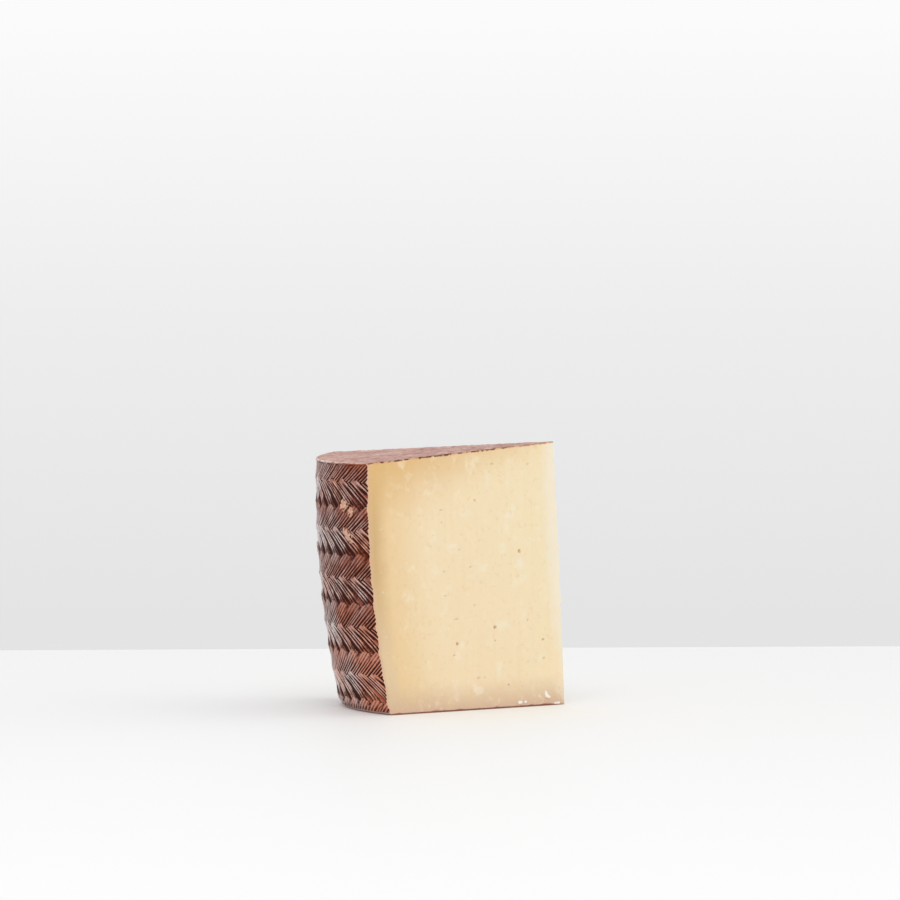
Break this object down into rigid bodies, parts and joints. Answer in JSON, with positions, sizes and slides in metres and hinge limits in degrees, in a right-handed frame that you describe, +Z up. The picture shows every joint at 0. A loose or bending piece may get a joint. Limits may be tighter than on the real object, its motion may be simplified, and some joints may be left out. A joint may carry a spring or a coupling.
{
  "type": "sheep cheese wedge",
  "caption": "Wedge of hard pressed raw milk sheep cheese with pale paste and a red-brown rind that keeps the print of a plaited grass belt, standing on its flat base.",
  "frame": {"origin": "on the table plane, under the middle of the wedge's bounding box", "axes": "+Z up; +X from the rind towards the cut tip, along the wedge's middle; the cut face that the picture shows faces -Y and a little +X"},
  "size_m": [0.1032, 0.099, 0.1089],
  "materials": {
    "cheese": "pale firm cheese paste, slightly translucent, with a red-brown printed rind on the round side and a dull pinkish brown rind on top and bottom"
  },
  "bodies": {
    "root": {"cheese_wedge": "cheese"}
  },
  "joints": []
}
